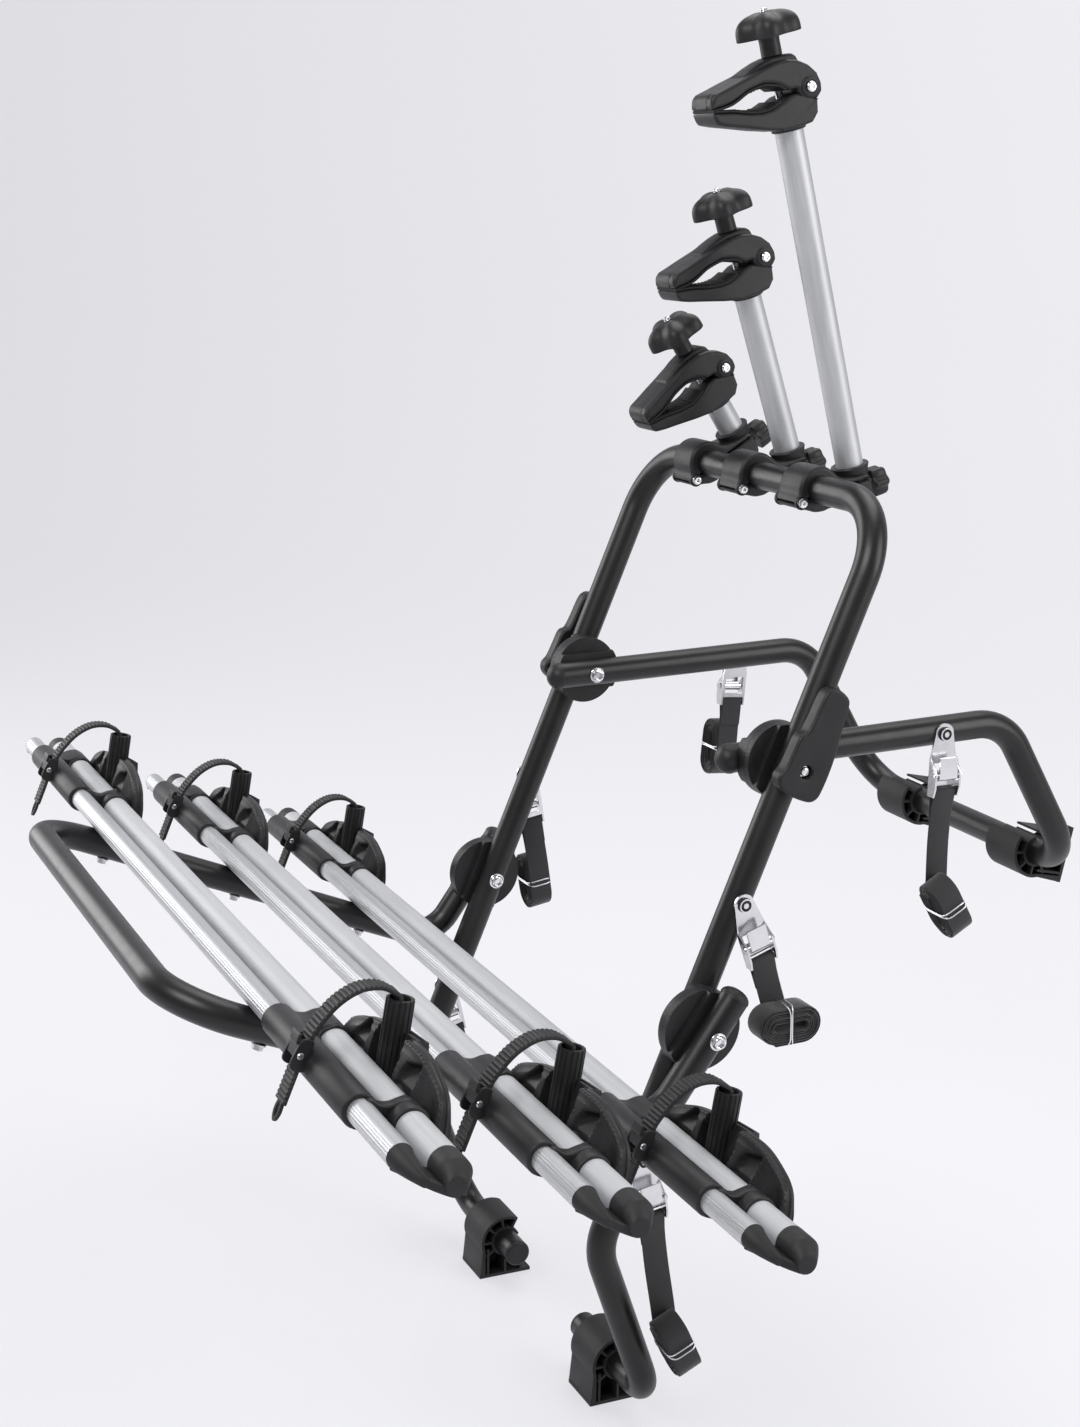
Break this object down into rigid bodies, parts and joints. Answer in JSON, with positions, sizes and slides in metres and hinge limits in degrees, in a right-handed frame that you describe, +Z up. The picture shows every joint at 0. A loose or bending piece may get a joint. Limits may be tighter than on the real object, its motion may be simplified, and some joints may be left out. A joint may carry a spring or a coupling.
{
  "type": "tailgate bike rack",
  "caption": "Strap-on tailgate bike rack with a steel hoop, folding upper frame and platform, aluminium wheel rails with sliding trays, and tilting clamp arms.",
  "frame": {"origin": "centre of the bounding box in plan, on the plane of the lower foot pads' faces", "axes": "+X along the wheel rails, +Y towards the tailgate, +Z up"},
  "size_m": [1.358, 1.1055, 1.442],
  "materials": {
    "black_steel": "satin black powder coat",
    "black_plastic": "satin black moulding",
    "strap_plastic": "black toothed strap",
    "rail_aluminium": "satin anodised",
    "zinc_steel": "zinc plated",
    "bright_steel": "bright plated",
    "webbing": "black woven webbing"
  },
  "bodies": {
    "hoop": {"hoop_tube": "black_steel", "hoop_end_caps": "black_plastic", "lower_foot_pads": "black_plastic", "hoop_hinge_discs": "black_plastic", "hinge_bolts": "zinc_steel", "hoop_buckles": "bright_steel", "hoop_straps": "webbing"},
    "upper_frame": {"upper_frame_tube": "black_steel", "upper_foot_pads": "black_plastic", "upper_frame_discs": "black_plastic", "frame_buckles": "bright_steel", "frame_straps": "webbing"},
    "left_lever": {"left_release_lever": "black_plastic"},
    "right_lever": {"right_release_lever": "black_plastic"},
    "platform": {"platform_tube": "black_steel", "platform_discs": "black_plastic", "rail_1": "rail_aluminium", "rail_2": "rail_aluminium", "rail_3": "rail_aluminium", "rail_end_caps": "black_plastic", "rail_bolts": "zinc_steel"},
    "tray_1_near": {"tray_1_near": "black_plastic", "ratchet_strap_1_near": "strap_plastic"},
    "tray_2_near": {"tray_2_near": "black_plastic", "ratchet_strap_2_near": "strap_plastic"},
    "tray_3_near": {"tray_3_near": "black_plastic", "ratchet_strap_3_near": "strap_plastic"},
    "tray_1_far": {"tray_1_far": "black_plastic", "ratchet_strap_1_far": "strap_plastic"},
    "tray_2_far": {"tray_2_far": "black_plastic", "ratchet_strap_2_far": "strap_plastic"},
    "tray_3_far": {"tray_3_far": "black_plastic", "ratchet_strap_3_far": "strap_plastic"},
    "arm_1": {"arm_tube_1": "rail_aluminium", "arm_collar_1": "black_plastic", "lower_jaw_1": "black_plastic", "arm_bolts_1": "zinc_steel"},
    "jaw_1": {"upper_jaw_1": "black_plastic"},
    "knob_1": {"clamp_knob_1": "black_plastic"},
    "star_1": {"star_knob_1": "black_plastic"},
    "arm_2": {"arm_tube_2": "rail_aluminium", "arm_collar_2": "black_plastic", "lower_jaw_2": "black_plastic", "arm_bolts_2": "zinc_steel"},
    "jaw_2": {"upper_jaw_2": "black_plastic"},
    "knob_2": {"clamp_knob_2": "black_plastic"},
    "star_2": {"star_knob_2": "black_plastic"},
    "arm_3": {"arm_tube_3": "rail_aluminium", "arm_collar_3": "black_plastic", "lower_jaw_3": "black_plastic", "arm_bolts_3": "zinc_steel"},
    "jaw_3": {"upper_jaw_3": "black_plastic"},
    "knob_3": {"clamp_knob_3": "black_plastic"},
    "star_3": {"star_knob_3": "black_plastic"},
    "cam_hoop_left": {"cam_lever_hoop_left": "bright_steel"},
    "cam_hoop_right": {"cam_lever_hoop_right": "bright_steel"},
    "cam_foot_left": {"cam_lever_foot_left": "bright_steel"},
    "cam_foot_right": {"cam_lever_foot_right": "bright_steel"},
    "cam_frame_left": {"cam_lever_frame_left": "bright_steel"},
    "cam_frame_right": {"cam_lever_frame_right": "bright_steel"}
  },
  "joints": [
    {"name": "upper_frame_hinge", "type": "hinge", "parent": "hoop", "child": "upper_frame", "pos_m": [0, 0.10302, 0.71213], "axis": [1, 0, 0], "range_deg": [-40, 56]},
    {"name": "platform_hinge", "type": "hinge", "parent": "hoop", "child": "platform", "pos_m": [0, 0, 0.45716], "axis": [1, 0, 0], "range_deg": [-60, 8]},
    {"name": "left_lever_turn", "type": "hinge", "parent": "hoop", "child": "left_lever", "pos_m": [-0.273, 0.10302, 0.71213], "axis": [1, 0, 0], "range_deg": [0, 80]},
    {"name": "right_lever_turn", "type": "hinge", "parent": "hoop", "child": "right_lever", "pos_m": [0.273, 0.10302, 0.71213], "axis": [1, 0, 0], "range_deg": [0, 80]},
    {"name": "tray_1_near_slide", "type": "slide", "parent": "platform", "child": "tray_1_near", "axis": [1, 0, 0], "range_m": [-0.02, 0.058]},
    {"name": "tray_2_near_slide", "type": "slide", "parent": "platform", "child": "tray_2_near", "axis": [1, 0, 0], "range_m": [-0.031, 0.048]},
    {"name": "tray_3_near_slide", "type": "slide", "parent": "platform", "child": "tray_3_near", "axis": [1, 0, 0], "range_m": [-0.038, 0.041]},
    {"name": "tray_1_far_slide", "type": "slide", "parent": "platform", "child": "tray_1_far", "axis": [1, 0, 0], "range_m": [-0.03, 0.048]},
    {"name": "tray_2_far_slide", "type": "slide", "parent": "platform", "child": "tray_2_far", "axis": [1, 0, 0], "range_m": [-0.025, 0.053]},
    {"name": "tray_3_far_slide", "type": "slide", "parent": "platform", "child": "tray_3_far", "axis": [1, 0, 0], "range_m": [-0.019, 0.059]},
    {"name": "arm_1_tilt", "type": "hinge", "parent": "hoop", "child": "arm_1", "pos_m": [-0.143, 0.20528, 0.96525], "axis": [1, 0, 0], "range_deg": [-25, 30]},
    {"name": "jaw_1_open", "type": "hinge", "parent": "arm_1", "child": "jaw_1", "pos_m": [-0.143, 0.22024, 1.07184], "axis": [-1, 0, 0], "range_deg": [0, 14]},
    {"name": "knob_1_turn", "type": "hinge", "parent": "jaw_1", "child": "knob_1", "pos_m": [-0.143, 0.17238, 1.09987], "axis": [0, -0.5592, 0.829], "range_deg": [0, 1960]},
    {"name": "star_1_turn", "type": "hinge", "parent": "arm_1", "child": "star_1", "pos_m": [-0.143, 0.27587, 0.99115], "axis": [0, 0.829, 0.5592], "range_deg": [0, 720]},
    {"name": "arm_2_tilt", "type": "hinge", "parent": "hoop", "child": "arm_2", "pos_m": [-0.031, 0.20528, 0.96525], "axis": [1, 0, 0], "range_deg": [-25, 30]},
    {"name": "jaw_2_open", "type": "hinge", "parent": "arm_2", "child": "jaw_2", "pos_m": [-0.031, 0.19938, 1.19761], "axis": [-1, 0, 0], "range_deg": [0, 14]},
    {"name": "knob_2_turn", "type": "hinge", "parent": "jaw_2", "child": "knob_2", "pos_m": [-0.031, 0.16007, 1.23673], "axis": [0, -0.3338, 0.9426], "range_deg": [0, 1960]},
    {"name": "star_2_turn", "type": "hinge", "parent": "arm_2", "child": "star_2", "pos_m": [-0.031, 0.28011, 0.97265], "axis": [0, 0.9426, 0.3338], "range_deg": [0, 720]},
    {"name": "arm_3_tilt", "type": "hinge", "parent": "hoop", "child": "arm_3", "pos_m": [0.094, 0.20528, 0.96525], "axis": [1, 0, 0], "range_deg": [-25, 30]},
    {"name": "jaw_3_open", "type": "hinge", "parent": "arm_3", "child": "jaw_3", "pos_m": [0.094, 0.16884, 1.36609], "axis": [-1, 0, 0], "range_deg": [0, 14]},
    {"name": "knob_3_turn", "type": "hinge", "parent": "jaw_3", "child": "knob_3", "pos_m": [0.094, 0.13235, 1.40786], "axis": [0, -0.2672, 0.9636], "range_deg": [0, 1960]},
    {"name": "star_3_turn", "type": "hinge", "parent": "arm_3", "child": "star_3", "pos_m": [0.094, 0.28044, 0.96742], "axis": [0, 0.9636, 0.2672], "range_deg": [0, 720]},
    {"name": "cam_hoop_left_lift", "type": "hinge", "parent": "hoop", "child": "cam_hoop_left", "pos_m": [-0.271, 0.05617, 0.53534], "axis": [0, -0.9848, -0.1736], "range_deg": [0, 75], "stiffness_Nm_per_rad": 0.05, "springref_deg": -17.19},
    {"name": "cam_hoop_right_lift", "type": "hinge", "parent": "hoop", "child": "cam_hoop_right", "pos_m": [0.271, 0.06305, 0.53716], "axis": [0, 0.9426, 0.3338], "range_deg": [0, 75], "stiffness_Nm_per_rad": 0.05, "springref_deg": -17.19},
    {"name": "cam_foot_left_lift", "type": "hinge", "parent": "hoop", "child": "cam_foot_left", "pos_m": [-0.271, -0.04429, 0.28007], "axis": [0, -0.9703, -0.2419], "range_deg": [0, 75], "stiffness_Nm_per_rad": 0.05, "springref_deg": -17.19},
    {"name": "cam_foot_right_lift", "type": "hinge", "parent": "hoop", "child": "cam_foot_right", "pos_m": [0.271, -0.04752, 0.27939], "axis": [0, 0.986, 0.1668], "range_deg": [0, 75], "stiffness_Nm_per_rad": 0.05, "springref_deg": -17.19},
    {"name": "cam_frame_left_lift", "type": "hinge", "parent": "upper_frame", "child": "cam_frame_left", "pos_m": [-0.224, 0.30589, 0.67643], "axis": [0, -0.9976, 0.0698], "range_deg": [0, 75], "stiffness_Nm_per_rad": 0.05, "springref_deg": -17.19},
    {"name": "cam_frame_right_lift", "type": "hinge", "parent": "upper_frame", "child": "cam_frame_right", "pos_m": [0.224, 0.30889, 0.67632], "axis": [0, 1, 0], "range_deg": [0, 75], "stiffness_Nm_per_rad": 0.05, "springref_deg": -17.19}
  ],
  "couplings": [
    {"joint": "knob_1_turn", "follows": "jaw_1_open", "ratio": 140},
    {"joint": "knob_2_turn", "follows": "jaw_2_open", "ratio": 140},
    {"joint": "knob_3_turn", "follows": "jaw_3_open", "ratio": 140}
  ]
}
